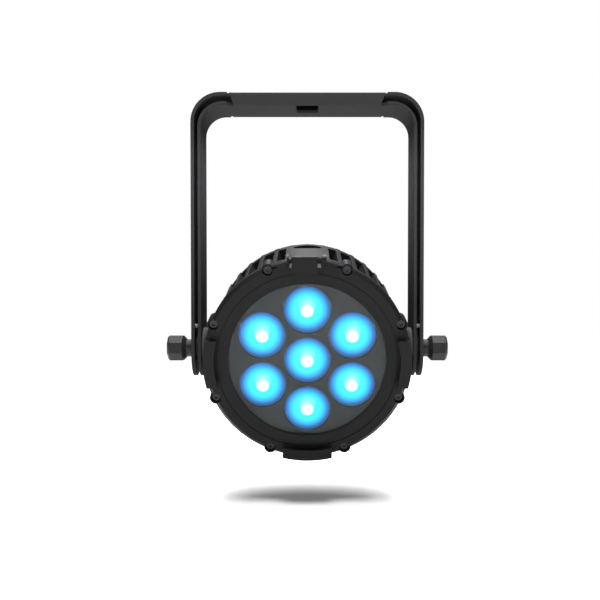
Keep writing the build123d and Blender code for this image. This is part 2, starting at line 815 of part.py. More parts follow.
# Clip screws, driven from behind the bezel before it goes onto the housing.
with BuildPart() as clip_screws:
    for angle, length in clips.values():
        with BuildSketch(head.offset(flange_face)):
            with Locations(*clip_screw_spots(angle, length)):
                Circle(clip_screw_head / 2)
        extrude(amount=clip_screw_head / 2)
        with BuildSketch(head.offset(flange_face)):
            with Locations(*clip_screw_spots(angle, length)):
                Circle(clip_screw / 2)
        extrude(amount=bezel_front + clip_gap - slide_clearance - flange_face)
clip_screws.part.label = "clip_screws"
export_step(clip_screws.part, "parts/clip_screws.step")

# Latch: sprung flap that closes the top of the accessory slot.
with BuildPart() as latch:
    with BuildSketch(profile_plane(latch_left)) as flap:
        with BuildLine():
            Polyline(
                (latch_top, latch_setting),
                (latch_top, lip_front),
                (latch_tip, lip_front),
                (latch_tip, lip_back),
                (latch_height, lip_back),
                close=True,
            )
        make_face()
        fillet(flap.vertices().group_by(Axis.X)[-1].sort_by(Axis.Y)[-1], latch_corner)
        with Locations((latch_height, latch_setting)):
            Circle(barrel_radius)
            Circle(pin_radius + thread_clearance, mode=Mode.SUBTRACT)
    extrude(amount=latch_right - latch_left)
latch.part.label = "latch"
export_step(latch.part, "parts/latch.step")

with BuildPart() as latch_pin:
    with BuildSketch(profile_plane(lug_left)):
        with Locations((latch_height, latch_setting)):
            Circle(pin_radius)
    extrude(amount=lug_right - lug_left)
latch_pin.part.label = "latch_pin"
export_step(latch_pin.part, "parts/latch_pin.step")

# Latch spring: close-wound turns on the pin, between the flap and the right lug.
with BuildPart() as latch_spring:
    spring_pitch = spring_room / (spring_turns + 0.5)
    for turn in range(spring_turns):
        with BuildSketch(profile_plane(latch_right + spring_pitch * (turn + 0.5))):
            with Locations((latch_height, latch_setting)):
                Circle(pin_radius + slide_clearance + spring_wire)
                Circle(pin_radius + slide_clearance, mode=Mode.SUBTRACT)
        extrude(amount=spring_wire)
latch_spring.part.label = "latch_spring"
export_step(latch_spring.part, "parts/latch_spring.step")


# ======== Optics ========

with BuildPart() as led_board:
    with BuildSketch(head.offset(flange_back)):
        Circle(board_radius)
    extrude(amount=board_thick)
led_board.part.label = "led_board"
export_step(led_board.part, "parts/led_board.step")

with BuildPart() as led_emitters:
    with BuildSketch(head.offset(board_front)):
        with Locations(*lens_spots):
            Rectangle(emitter_size, emitter_size)
    extrude(amount=emitter_base)
    with BuildSketch(head.offset(board_front + emitter_base)):
        with Locations(*lens_spots):
            Circle(emitter_dome)
    extrude(amount=emitter_height)
led_emitters.part.label = "led_emitters"
export_step(led_emitters.part, "parts/led_emitters.step")

with BuildPart() as lens_holders:
    with BuildSketch(head.offset(board_front)):
        with Locations(*lens_spots):
            Circle(lens_radius + slide_clearance + holder_wall)
            Circle(lens_radius + slide_clearance, mode=Mode.SUBTRACT)
    extrude(amount=mask_back - board_front)
lens_holders.part.label = "lens_holders"
export_step(lens_holders.part, "parts/lens_holders.step")

# Lenses: clear cones that widen from the emitters to a round rim in the mask.
cone_front = lens_face - lens_rim
with BuildPart(head.offset(cone_front - lens_cone)) as lenses:
    with Locations(*lens_spots):
        Cone(
            lens_throat,
            lens_radius - lens_step,
            lens_cone,
            align=(Align.CENTER, Align.CENTER, Align.MIN),
        )
    with BuildSketch(head.offset(cone_front)):
        with Locations(*lens_spots):
            Circle(lens_radius)
    extrude(amount=lens_rim)
lenses.part.label = "lenses"
export_step(lenses.part, "parts/lenses.step")


# ======== Rear compartment ========

with BuildPart() as led_lead:
    with BuildSketch(head.offset(drum_rear - plate_thick)):
        Circle(lead_diameter / 2)
    extrude(amount=flange_back - drum_rear + plate_thick)
led_lead.part.label = "led_lead"
export_step(led_lead.part, "parts/led_lead.step")

# Chassis plate closes the drum and carries the power supply.
with BuildPart() as chassis_plate:
    with BuildSketch(head.offset(drum_rear)):
        Circle(rim_radius)
        Circle(lead_hole / 2, mode=Mode.SUBTRACT)
        with PolarLocations(rear_screw_circle, rear_screw_count):
            Circle(screw_shank / 2 + seat_clearance, mode=Mode.SUBTRACT)
    extrude(amount=-plate_thick)
chassis_plate.part.label = "chassis_plate"
export_step(chassis_plate.part, "parts/chassis_plate.step")

with BuildPart() as rear_gasket:
    with BuildSketch(head.offset(cover_mouth)):
        Circle(rim_radius)
        Circle(rim_inner, mode=Mode.SUBTRACT)
        with PolarLocations(rear_screw_circle, rear_screw_count):
            Circle(screw_shank / 2 + seat_clearance, mode=Mode.SUBTRACT)
    extrude(amount=gasket_thick)
rear_gasket.part.label = "rear_gasket"
export_step(rear_gasket.part, "parts/rear_gasket.step")

hollow_floor = socket_flange[2] - socket_hollow
socket_spots = [(side * socket_column, row) for row in socket_rows for side in (-1, 1)]
button_names = ("menu", "up", "down", "enter")
first_button = -(len(button_names) - 1) / 2 * button_pitch
button_spots = [(first_button + place * button_pitch, button_row) for place in range(len(button_names))]
flange_screw_spots = [
    (spot[0] + side * flange_screw_place[0], spot[1] - side * flange_screw_place[1])
    for spot in socket_spots
    for side in (-1, 1)
]
eye_screw_spots = [(-eye_screw_place, eye_place), (eye_screw_place, eye_place)]

# Rear cover: one cast cup in two pieces. The wall has a screwed rim and a turned-in edge.
with BuildPart() as rear_cover:
    with BuildSketch(section) as cover_half:
        with BuildLine():
            Polyline(
                (rim_inner, cover_mouth),
                (rim_radius, cover_mouth),
                (rim_radius, rim_back),
                (cover_foot, rim_back),
                (cover_top, cover_face),
                (panel_radius, cover_face),
                (panel_radius, cover_floor),
                (cover_top - cover_wall, cover_floor),
                close=True,
            )
        make_face()
        fillet(cover_half.vertices().group_by(Axis.Y)[0].sort_by(Axis.X)[-1], cover_corner)
    revolve(axis=lamp_axis)
    with BuildSketch(head.offset(cover_mouth)):
        with PolarLocations(rear_screw_circle, rear_screw_count):
            Circle(screw_shank / 2 + seat_clearance)
    extrude(amount=-rim_thick, mode=Mode.SUBTRACT)
rear_cover.part.label = "rear_cover"
export_step(rear_cover.part, "parts/rear_cover.step")

# The floor is the panel for the controls and sockets.
with BuildPart() as rear_panel:
    with BuildSketch(rear_face):
        Circle(panel_radius)
        with Locations((0, display_middle)):
            Rectangle(window_size[0], window_size[1], mode=Mode.SUBTRACT)
        with Locations(*button_spots):
            Circle(button_radius + slide_clearance, mode=Mode.SUBTRACT)
        with Locations(*socket_spots):
            Circle(socket_body + seat_clearance, mode=Mode.SUBTRACT)
        with Locations(*flange_screw_spots, *eye_screw_spots):
            Circle(flange_screw / 2 + seat_clearance, mode=Mode.SUBTRACT)
        with Locations(vent_place):
            Circle(vent_stem + seat_clearance, mode=Mode.SUBTRACT)
    extrude(amount=-cover_wall)
rear_panel.part.label = "rear_panel"
export_step(rear_panel.part, "parts/rear_panel.step")

with BuildPart() as rear_screws:
    with BuildSketch(head.offset(rim_back)):
        with PolarLocations(rear_screw_circle, rear_screw_count):
            Circle(rear_screw_head / 2)
    extrude(amount=-screw_head_height)
    with BuildSketch(head.offset(rim_back - screw_head_height)):
        with PolarLocations(rear_screw_circle, rear_screw_count):
            RegularPolygon(socket_flats / 2, 6, major_radius=False)
    extrude(amount=screw_head_height / 2, mode=Mode.SUBTRACT)
    with BuildSketch(head.offset(rim_back)):
        with PolarLocations(rear_screw_circle, rear_screw_count):
            Circle(screw_shank / 2)
    extrude(amount=ring_front - slide_clearance - rim_back)
rear_screws.part.label = "rear_screws"
export_step(rear_screws.part, "parts/rear_screws.step")

with BuildPart() as power_supply:
    with BuildSketch(head.offset(drum_rear - plate_thick)):
        Rectangle(supply_size[0], supply_size[1])
    extrude(amount=-supply_size[2])
power_supply.part.label = "power_supply"
export_step(power_supply.part, "parts/power_supply.step")

# Control board on pillars behind the panel, with the display module on it.
pillar_across = control_size[0] / 2 - pillar_inset
pillar_up = control_size[1] / 2 - pillar_inset
with BuildPart() as board_pillars:
    with BuildSketch(rear_face.offset(-cover_wall)):
        with Locations((0, control_middle)):
            with GridLocations(2 * pillar_across, 2 * pillar_up, 2, 2):
                Circle(pillar_radius)
    extrude(amount=-pillar_height)
board_pillars.part.label = "board_pillars"
export_step(board_pillars.part, "parts/board_pillars.step")

with BuildPart() as control_board:
    with BuildSketch(rear_face.offset(-cover_wall - pillar_height)):
        with Locations((0, control_middle)):
            Rectangle(control_size[0], control_size[1])
    extrude(amount=-control_size[2])
control_board.part.label = "control_board"
export_step(control_board.part, "parts/control_board.step")

with BuildPart() as display_module:
    with BuildSketch(rear_face.offset(-cover_wall - pillar_height)):
        with Locations((0, display_middle)):
            Rectangle(display_size[0], display_size[1])
    extrude(amount=pillar_height - slide_clearance)
display_module.part.label = "display_module"
export_step(display_module.part, "parts/display_module.step")

with BuildPart() as display_window:
    with BuildSketch(rear_face.offset(-cover_wall)):
        with Locations((0, display_middle)):
            Rectangle(window_size[0] - 2 * seat_clearance, window_size[1] - 2 * seat_clearance)
    extrude(amount=window_thick)
display_window.part.label = "display_window"
export_step(display_window.part, "parts/display_window.step")

# Buttons: each a round cap through the panel with a flange that keeps it in.
for button_name, button_spot in zip(button_names, button_spots):
    with BuildPart() as button:
        with BuildSketch(rear_face.offset(button_proud)):
            with Locations(button_spot):
                Circle(button_radius)
        extrude(amount=-(button_proud + cover_wall + slide_clearance))
        chamfer(button.faces().sort_by(Axis(pivot, backward))[-1].edges(), button_chamfer)
        with BuildSketch(rear_face.offset(-cover_wall - slide_clearance)):
            with Locations(button_spot):
                Circle(button_flange_radius)
        extrude(amount=-button_flange)
    button.part.label = f"{button_name}_button"
    export_step(button.part, f"parts/{button_name}_button.step")

# Sockets: a flanged round body with an open cavity.
socket_names = ("power_inlet", "power_outlet", "data_inlet", "data_outlet")
for socket_name, socket_spot in zip(socket_names, socket_spots):
    with BuildPart() as socket:
        with BuildSketch(rear_face):
            with Locations(socket_spot):
                RectangleRounded(socket_flange[0], socket_flange[1], flange_corner)
        extrude(amount=socket_flange[2])
        with BuildSketch(rear_face):
            with Locations(socket_spot):
                Circle(socket_body)
        extrude(amount=-socket_depth)
        with BuildSketch(rear_face.offset(socket_flange[2])):
            with Locations(socket_spot):
                Circle(socket_cavity)
        extrude(amount=-socket_hollow, mode=Mode.SUBTRACT)
        with BuildSketch(rear_face):
            with Locations(*flange_screw_spots):
                Circle(flange_screw / 2 + seat_clearance)
        extrude(amount=socket_flange[2], mode=Mode.SUBTRACT)
    socket.part.label = socket_name
    export_step(socket.part, f"parts/{socket_name}.step")

# Inlets have brass pins.
with BuildPart() as inlet_pins:
    with BuildSketch(rear_face.offset(hollow_floor)):
        with Locations(*socket_spots[0::2]):
            with PolarLocations(contact_circle, contact_count, start_angle=90):
                Circle(contact_radius)
    extrude(amount=pin_length)
inlet_pins.part.label = "inlet_pins"
export_step(inlet_pins.part, "parts/inlet_pins.step")

# Outlets have a block with holes for such pins.
with BuildPart() as outlet_blocks:
    with BuildSketch(rear_face.offset(hollow_floor)):
        with Locations(*socket_spots[1::2]):
            Circle(insert_radius)
    extrude(amount=insert_length)
    with BuildSketch(rear_face.offset(hollow_floor + insert_length)):
        with Locations(*socket_spots[1::2]):
            with PolarLocations(contact_circle, contact_count, start_angle=90):
                Circle(contact_radius)
    extrude(amount=-contact_hole, mode=Mode.SUBTRACT)
outlet_blocks.part.label = "outlet_blocks"
export_step(outlet_blocks.part, "parts/outlet_blocks.step")

with BuildPart() as socket_screws:
    with BuildSketch(rear_face.offset(socket_flange[2])):
        with Locations(*flange_screw_spots):
            Circle(flange_screw_head / 2)
    extrude(amount=flange_screw / 2)
    with BuildSketch(rear_face.offset(socket_flange[2])):
        with Locations(*flange_screw_spots):
            Circle(flange_screw / 2)
    extrude(amount=-socket_flange[2] - cover_wall)
socket_screws.part.label = "socket_screws"
export_step(socket_screws.part, "parts/socket_screws.step")

with BuildPart() as vent_plug:
    with BuildSketch(rear_face):
        with Locations(vent_place):
            Circle(vent_radius)
    extrude(amount=vent_height)
    chamfer(vent_plug.faces().sort_by(Axis(pivot, backward))[-1].edges(), vent_chamfer)
    with BuildSketch(rear_face):
        with Locations(vent_place):
            Circle(vent_stem)
    extrude(amount=-cover_wall - vent_grip)
vent_plug.part.label = "vent_plug"
export_step(vent_plug.part, "parts/vent_plug.step")

# Safety eye: bent bracket with a hole for a safety cable's link.
eye_edge = eye_base[1] / 2
with BuildPart() as safety_eye:
    with BuildSketch(rear_face):
        with Locations((0, eye_place)):
            Rectangle(eye_base[0], eye_base[1])
        with Locations(*eye_screw_spots):
            Circle(flange_screw / 2 + seat_clearance, mode=Mode.SUBTRACT)
    extrude(amount=eye_base[2])
    with BuildSketch(profile_plane(-eye_thick / 2)):
        eye_back = cover_face - eye_base[2]
        with Locations((eye_place, eye_back - (eye_reach - eye_edge) / 2)):
            Rectangle(eye_base[1], eye_reach - eye_edge)
        with Locations((eye_place, eye_back - eye_reach + eye_edge)):
            Circle(eye_edge)
            Circle(eye_bore / 2, mode=Mode.SUBTRACT)
    extrude(amount=eye_thick)
safety_eye.part.label = "safety_eye"
export_step(safety_eye.part, "parts/safety_eye.step")

with BuildPart() as safety_screws:
    with BuildSketch(rear_face.offset(eye_base[2])):
        with Locations(*eye_screw_spots):
            Circle(flange_screw_head / 2)
    extrude(amount=flange_screw / 2)
    with BuildSketch(rear_face.offset(eye_base[2])):
        with Locations(*eye_screw_spots):
            Circle(flange_screw / 2)
    extrude(amount=-eye_base[2] - cover_wall)
safety_screws.part.label = "safety_screws"
export_step(safety_screws.part, "parts/safety_screws.step")
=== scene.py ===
import json
from math import cos, pi, radians

import bmesh
import bpy
import numpy as np
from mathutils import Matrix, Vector


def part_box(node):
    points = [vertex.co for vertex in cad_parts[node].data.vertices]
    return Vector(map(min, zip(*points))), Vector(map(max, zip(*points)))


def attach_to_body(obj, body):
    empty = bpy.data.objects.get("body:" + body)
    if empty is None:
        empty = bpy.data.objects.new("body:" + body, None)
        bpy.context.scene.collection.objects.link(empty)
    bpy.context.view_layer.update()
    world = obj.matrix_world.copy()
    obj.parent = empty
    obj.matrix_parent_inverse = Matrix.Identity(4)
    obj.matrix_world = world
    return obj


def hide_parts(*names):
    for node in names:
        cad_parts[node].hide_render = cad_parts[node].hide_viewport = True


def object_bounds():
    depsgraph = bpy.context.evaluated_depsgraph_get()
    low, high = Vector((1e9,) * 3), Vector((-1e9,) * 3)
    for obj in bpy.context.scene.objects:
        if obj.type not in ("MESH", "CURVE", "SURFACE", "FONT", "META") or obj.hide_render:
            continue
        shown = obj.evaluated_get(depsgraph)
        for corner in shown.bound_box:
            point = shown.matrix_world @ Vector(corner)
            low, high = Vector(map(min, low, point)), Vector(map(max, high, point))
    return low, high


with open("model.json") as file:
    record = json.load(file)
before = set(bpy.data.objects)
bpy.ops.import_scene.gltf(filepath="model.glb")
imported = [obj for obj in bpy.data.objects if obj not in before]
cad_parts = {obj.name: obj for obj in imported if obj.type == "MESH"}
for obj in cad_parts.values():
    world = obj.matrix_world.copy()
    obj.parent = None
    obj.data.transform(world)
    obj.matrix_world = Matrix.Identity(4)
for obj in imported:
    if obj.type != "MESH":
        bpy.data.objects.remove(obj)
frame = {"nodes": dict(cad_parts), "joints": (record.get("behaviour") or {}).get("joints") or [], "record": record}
cad_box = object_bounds()
record = frame["record"]

# A par can light hung by its yoke: pieces in the order they go together, from the lamps outwards.


# ---------------------------------------------------------------- studio and camera
# Pale floor below the hanging lamp, a broad soft light overhead and a weaker one in front.
# The camera looks level from in front, a little above the pivot, with a slightly long lens.

class Signal:
    """A shader socket that works in sums: each operator adds its Math node."""

    def __init__(self, paint, socket):
        self.paint = paint
        self.socket = socket

    def maths(self, operation, first, second):
        return self.paint.node("ShaderNodeMath", {"operation": operation}, {0: first, 1: second})

    def __add__(self, other):
        return self.maths("ADD", self, other)

    def __radd__(self, other):
        return self.maths("ADD", other, self)

    def __sub__(self, other):
        return self.maths("SUBTRACT", self, other)

    def __rsub__(self, other):
        return self.maths("SUBTRACT", other, self)

    def __mul__(self, other):
        return self.maths("MULTIPLY", self, other)

    def __rmul__(self, other):
        return self.maths("MULTIPLY", other, self)

    def __pow__(self, other):
        return self.maths("POWER", self, other)


class Paint:
    """A node tree for one finish, or for the world. Nodes come back as Signals of one output."""

    def __init__(self, name, owner=None):
        self.material = owner or bpy.data.materials.new(name)
        self.material.use_nodes = True
        self.tree = self.material.node_tree
        self.tree.nodes.clear()

    def node(self, kind, settings=None, inputs=None, output=0):
        """Adds a node: its settings first, then the values or links of its sockets."""
        made = self.tree.nodes.new(kind)
        for key, value in (settings or {}).items():
            if key == "stops":
                ramp = made.color_ramp
                ramp.elements[0].position, ramp.elements[0].color = value[0]
                ramp.elements[1].position, ramp.elements[1].color = value[-1]
                for place, colour in value[1:-1]:
                    ramp.elements.new(place).color = colour
            else:
                setattr(made, key, value)
        for key, value in (inputs or {}).items():
            if isinstance(value, Signal):
                self.tree.links.new(value.socket, made.inputs[key])
            else:
                made.inputs[key].default_value = value
        return Signal(self, made.outputs[output] if len(made.outputs) else None)

    def place(self, output="Object"):
        """Texture coordinates: the piece's own place in metres, or its UV map."""
        return self.node("ShaderNodeTexCoord", output=output)

    def along(self, coords, axis):
        """One coordinate out of three, by its number."""
        return self.node("ShaderNodeSeparateXYZ", None, {0: coords}, axis)

    def noise(self, scale, detail=2.0, coords=None, roughness=0.5):
        """Cloudy pattern from 0 to 1; scale counts features per metre."""
        return self.node("ShaderNodeTexNoise", {"noise_dimensions": "3D"}, {
            "Vector": coords or self.place(), "Scale": scale, "Detail": detail, "Roughness": roughness,
        })

    def spread(self, signal, low, high, start=0.0, end=1.0):
        """Carries a signal from start..end to low..high, held at the ends."""
        return self.node("ShaderNodeMapRange", {"clamp": True}, {
            "Value": signal, "From Min": start, "From Max": end, "To Min": low, "To Max": high,
        })

    def mix(self, first, second, factor):
        """Blends two colours."""
        settings = {"data_type": "RGBA", "clamp_factor": True}
        return self.node("ShaderNodeMix", settings, {0: factor, 6: first, 7: second}, 2)

    def bump(self, height, distance, strength=1.0):
        """Surface normal from a height signal; distance is the full relief in metres."""
        return self.node("ShaderNodeBump", None, {
            "Height": height, "Distance": distance, "Strength": strength,
        })

    def surface(self, **sockets):
        """Ends the tree in a Principled shader; keywords name its sockets, with _ for a space."""
        values = {key.replace("_", " "): value for key, value in sockets.items()}
        self.finish(self.node("ShaderNodeBsdfPrincipled", None, values))

    def finish(self, shader):
        """Ends the tree in a shader."""
        kind = "Material" if isinstance(self.material, bpy.types.Material) else "World"
        self.node("ShaderNodeOutput" + kind, None, {"Surface": shader})


def rgb(red, green, blue):
    """A colour as the four numbers that a socket takes."""
    return (red, green, blue, 1.0)


def mesh_piece(name, corners, faces, paint, smooth=True):
    """A new object at the origin with its place in its mesh: rows of corners, lists of faces."""
    mesh = bpy.data.meshes.new(name)
    mesh.from_pydata(corners.tolist(), [], faces)
    mesh.polygons.foreach_set("use_smooth", np.full(len(mesh.polygons), smooth))
    mesh.materials.append(paint)
    mesh.update()
    piece = bpy.data.objects.new(name, mesh)
    bpy.context.scene.collection.objects.link(piece)
    return piece


def recalculate(piece, reach=1e-7):
    """Merges doubled corners and turns every face outwards."""
    shell = bmesh.new()
    shell.from_mesh(piece.data)
    bmesh.ops.remove_doubles(shell, verts=shell.verts, dist=reach)
    bmesh.ops.recalc_face_normals(shell, faces=shell.faces)
    shell.to_mesh(piece.data)
    shell.free()
    return piece


pivot_height = (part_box("left_knob")[0].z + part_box("left_knob")[1].z) / 2.0
floor_drop = 0.042
floor_reach = 6.0
# The floor glows more the further it lies from the middle, from the first of these distances to the second:
# painted light that makes the far floor as white as the backdrop. Near the lamp it barely glows, so the lamp's
# real shadow shows.
floor_glow_start = 0.25
floor_glow_end = 1.6

floor_paint = Paint("pale_floor")
floor_place = floor_paint.place()
floor_x = floor_paint.along(floor_place, 0)
floor_y = floor_paint.along(floor_place, 1)
floor_out = (floor_x * floor_x + floor_y * floor_y) ** 0.5
floor_glow = floor_paint.spread(floor_out, 0.0, 1.0, floor_glow_start, floor_glow_end)
floor_paint.surface(
    Base_Color=floor_paint.mix(
        rgb(0.9270, 0.9270, 0.9270), rgb(0.9276, 0.9276, 0.9276), floor_paint.noise(3.0),
    ),
    Roughness=0.9,
    Specular_IOR_Level=0.1,
    # Painted light: a glow that rises with distance from the middle.
    Emission_Color=floor_paint.mix(rgb(0.02, 0.02, 0.02), rgb(1.0, 1.0, 1.0), floor_glow),
    Emission_Strength=1.0,
)
floor_height = cad_box[0].z - floor_drop
floor_corners = np.array([
    (-floor_reach, -floor_reach, floor_height),
    (floor_reach, -floor_reach, floor_height),
    (floor_reach, floor_reach, floor_height),
    (-floor_reach, floor_reach, floor_height),
])
mesh_piece("floor", floor_corners, [(0, 1, 2, 3)], floor_paint.material, smooth=False)

scene = bpy.context.scene
scene.world = bpy.data.worlds.new("studio")
studio = Paint("studio", scene.world)
sky_height = studio.along(studio.place("Generated"), 2)
sky = studio.node(
    "ShaderNodeValToRGB",
    {"stops": [
        (0.00, rgb(0.16, 0.16, 0.17)),
        (0.46, rgb(0.13, 0.13, 0.14)),
        (0.60, rgb(0.11, 0.11, 0.12)),
        (1.00, rgb(0.60, 0.60, 0.61)),
    ]},
    {0: studio.spread(sky_height, 0.0, 1.0, start=-1.0, end=1.0)},
)
seen_directly = studio.node("ShaderNodeLightPath")
studio.finish(studio.node("ShaderNodeBackground", None, {
    "Color": studio.mix(sky, rgb(1.0, 1.0, 1.0), seen_directly),
    "Strength": 1.0,
}))


def soft_light(name, place, aim, wide, high, power):
    """A rectangular soft light that faces a point."""
    lamp = bpy.data.lights.new(name, "AREA")
    lamp.shape = "RECTANGLE"
    lamp.size = wide
    lamp.size_y = high
    lamp.energy = power
    holder = bpy.data.objects.new(name, lamp)
    holder.location = place
    holder.rotation_euler = (Vector(aim) - Vector(place)).to_track_quat("-Z", "Y").to_euler()
    scene.collection.objects.link(holder)


middle = (0.0, 0.0, pivot_height)
soft_light("overhead", (0.0, 0.0, pivot_height + 1.15), middle, wide=0.40, high=2.0, power=66.0)
soft_light("front_fill", (0.0, -1.7, pivot_height + 0.45), middle, wide=1.4, high=0.9, power=1.0)

camera_back = 0.6988
camera_rise = 0.0084
camera_dip = 1.5
camera_lens = 45.93
camera_shift = (-0.0122, 0.098)
camera = bpy.data.objects.new("camera", bpy.data.cameras.new("camera"))
camera.location = (0.0, -camera_back, pivot_height + camera_rise)
camera.rotation_euler = (radians(90.0 - camera_dip), 0.0, 0.0)
camera.data.lens = camera_lens
camera.data.shift_x, camera.data.shift_y = camera_shift
scene.collection.objects.link(camera)
scene.camera = camera
scene.view_settings.view_transform = "Standard"


# ---------------------------------------------------------------- heat sink
# Black anodised aluminium: a base plate that carries the lamps, a hub and radial fins.
# It sits inside the drum and is screwed up behind the front flange.

pivot = np.array((0.0, 0.0, pivot_height))
button_slide = [joint for joint in frame["joints"] if joint["name"] == "menu_button_press"][0]
forward = Vector(button_slide["axis"]).normalized()
across = Vector((1.0, 0.0, 0.0))
head_axes = np.array([across, forward.cross(across), forward])
body_of = {node: body for body, nodes in record["behaviour"]["bodies"].items() for node in nodes}
merge_reach = 2e-6
flat_turn = 0.4
sharp_turn = 32.0
sheet_edge = 0.0003


def on_head(points):
    """Places of rows of (across, height above the lamp's axis, distance forward of the pivot)."""
    return pivot + np.asarray(points, float) @ head_axes


def head_extent(node):
    """Lowest and highest (across, height, forward) of a CAD piece along the head's own axes."""
    mesh = frame["nodes"][node].data
    corners = np.empty(len(mesh.vertices) * 3)
    mesh.vertices.foreach_get("co", corners)
    local = (corners.reshape(-1, 3) - pivot) @ head_axes.T
    return local.min(0), local.max(0)


def dress(node, paint):
    """Gives its finish to a CAD piece that keeps its shape."""
    for place in frame["nodes"][node].material_slots:
        place.material = paint


def attach(piece, *nodes):
    """The piece rides with the first CAD piece's body and stands for them all, which are hidden."""
    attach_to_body(piece, body_of[nodes[0]])
    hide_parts(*nodes)
    return piece


def finished(node, edge, paint, segments=2):
    """A CAD piece with its sharp edges broken: a merged copy with its flat faces rejoined,
    and a rounded bevel along every edge that turns by more than sharp_turn degrees."""
    shell = bmesh.new()
    shell.from_mesh(frame["nodes"][node].data)
    bmesh.ops.remove_doubles(shell, verts=shell.verts, dist=merge_reach)
    bmesh.ops.dissolve_limit(shell, angle_limit=radians(flat_turn), verts=shell.verts, edges=shell.edges)
    mesh = bpy.data.meshes.new(node + "_finished")
    shell.to_mesh(mesh)
    shell.free()
    if "custom_normal" in mesh.attributes:
        mesh.attributes.remove(mesh.attributes["custom_normal"])
    mesh.polygons.foreach_set("use_smooth", np.ones(len(mesh.polygons), bool))
    mesh.materials.clear()
    mesh.materials.append(paint)
    piece = bpy.data.objects.new(node + "_finished", mesh)
    scene.collection.objects.link(piece)
    bevel = piece.modifiers.new("broken_edges", "BEVEL")
    bevel.width = edge
    bevel.segments = segments
    bevel.limit_method = "ANGLE"
    bevel.angle_limit = radians(sharp_turn)
    bevel.miter_outer = "MITER_ARC"
    bevel.harden_normals = True
    return attach(piece, node)


anodised = Paint("black_anodised")
anodised_grain = anodised.noise(2600.0, 3.0)
anodised.surface(
    Base_Color=anodised.mix(rgb(0.012, 0.012, 0.013), rgb(0.024, 0.024, 0.026), anodised.noise(60.0)),
    Metallic=0.6,
    Roughness=anodised.spread(anodised_grain, 0.34, 0.48),
    Normal=anodised.bump(anodised_grain, 0.00003, 0.6),
)
finished("heat_sink", sheet_edge, anodised.material)
finished("heat_fins", sheet_edge, anodised.material)


# ---------------------------------------------------------------- lamp board
# White circuit board screwed to the heat sink, with seven lit emitters and their black cups.
# The lead to the power supply runs straight back through the hub.

board_white = Paint("white_board")
board_white.surface(
    Base_Color=board_white.mix(rgb(0.70, 0.70, 0.68), rgb(0.80, 0.80, 0.78), board_white.noise(400.0)),
    Roughness=board_white.spread(board_white.noise(1500.0), 0.30, 0.42),
)
dress("led_board", board_white.material)

emitter_light = Paint("emitter_light")
emitter_light.surface(
    Base_Color=emitter_light.mix(rgb(0.6, 0.9, 1.0), rgb(0.8, 1.0, 1.0), emitter_light.noise(900.0)),
    Emission_Color=emitter_light.mix(rgb(0.5, 0.95, 1.0), rgb(0.9, 1.0, 1.0), emitter_light.noise(900.0)),
    Emission_Strength=1.5,
    Roughness=0.3,
)
dress("led_emitters", emitter_light.material)


def moulded(name, dark, light, rough, grain=0.00004, shine=0.15):
    """Moulded plastic: faint mottling, a fine spark-eroded grain and a slightly uneven gloss."""
    paint = Paint(name)
    texture = paint.noise(2400.0, 3.0)
    cloud = paint.noise(45.0, 3.0)
    paint.surface(
        Base_Color=paint.mix(rgb(*dark), rgb(*light), cloud),
        Roughness=paint.spread(texture * 0.6 + cloud * 0.4, rough - 0.06, rough + 0.08),
        Specular_IOR_Level=shine,
        Normal=paint.bump(texture, grain, 0.7),
    )
    return paint.material


black_plastic = moulded("black_plastic", (0.009, 0.009, 0.0095), (0.016, 0.016, 0.017), 0.38)
dress("lens_holders", black_plastic)

black_rubber = moulded("black_rubber", (0.010, 0.010, 0.010), (0.018, 0.018, 0.018), 0.72)
dress("led_lead", black_rubber)


# ---------------------------------------------------------------- lenses
# Seven clear acrylic lenses, lit cyan from behind: a white core over the emitter, a pale halo
# above it and a blue edge. Each is turned: slightly domed face, round rim and a cone behind.

# Six lenses ring the middle one. The ring reaches one pitch up but only cos 30 of it across,
# so the pitch comes out of the difference between the two.
lens_low, lens_high = head_extent("lenses")
lens_pitch = (lens_high[1] - lens_high[0]) / (1.0 - cos(radians(30.0)))
lens_radius = lens_high[1] - lens_pitch
lens_face = lens_high[2]
lens_back = lens_low[2]
lens_ring = np.radians(np.arange(6) * 60.0 + 30.0)
lens_centres = np.vstack([(0.0, 0.0), lens_pitch * np.column_stack([np.cos(lens_ring), np.sin(lens_ring)])])
lens_dome = 0.0005
lens_edge = 0.0006
lens_rim = 0.0034
lens_step = 0.001
lens_throat = 0.0070
spoke_count = 96
dome_rings = 14


def ring_faces(rings, spokes):
    """Four-cornered faces between neighbouring rings of corners, each ring closed on itself."""
    ring, spoke = np.meshgrid(np.arange(rings - 1), np.arange(spokes), indexing="ij")
    after = (spoke + 1) % spokes
    return np.stack([
        ring * spokes + spoke,
        ring * spokes + after,
        (ring + 1) * spokes + after,
        (ring + 1) * spokes + spoke,
    ], axis=-1).reshape(-1, 4)


def turned(profile, centre, spokes):
    """Surface of revolution about a line along the lamp: each (radius, forward) point of the
    profile goes once round the centre. Returns the corners and the faces between the rings."""
    profile = np.asarray(profile, float)
    angle = np.linspace(0.0, 2.0 * pi, spokes, endpoint=False)
    radius, along = profile[:, 0, None], profile[:, 1, None]
    corners = np.stack([
        centre[0] + radius * np.cos(angle),
        centre[1] + radius * np.sin(angle),
        along + 0.0 * angle,
    ], axis=-1).reshape(-1, 3)
    return corners, ring_faces(len(profile), spokes)


def arc(centre, radius, start, end, count=7):
    """Points of a round stretch of a profile, from one angle to another in degrees."""
    angle = np.radians(np.linspace(start, end, count))
    return np.column_stack([centre[0] + radius * np.cos(angle), centre[1] + radius * np.sin(angle)])


def gather(shapes):
    """Joins several (corners, faces) into one pair."""
    offsets = np.cumsum([0] + [len(corners) for corners, _ in shapes[:-1]])
    corners = np.vstack([corners for corners, _ in shapes])
    faces = np.vstack([faces + offset for (_, faces), offset in zip(shapes, offsets)])
    return corners, faces


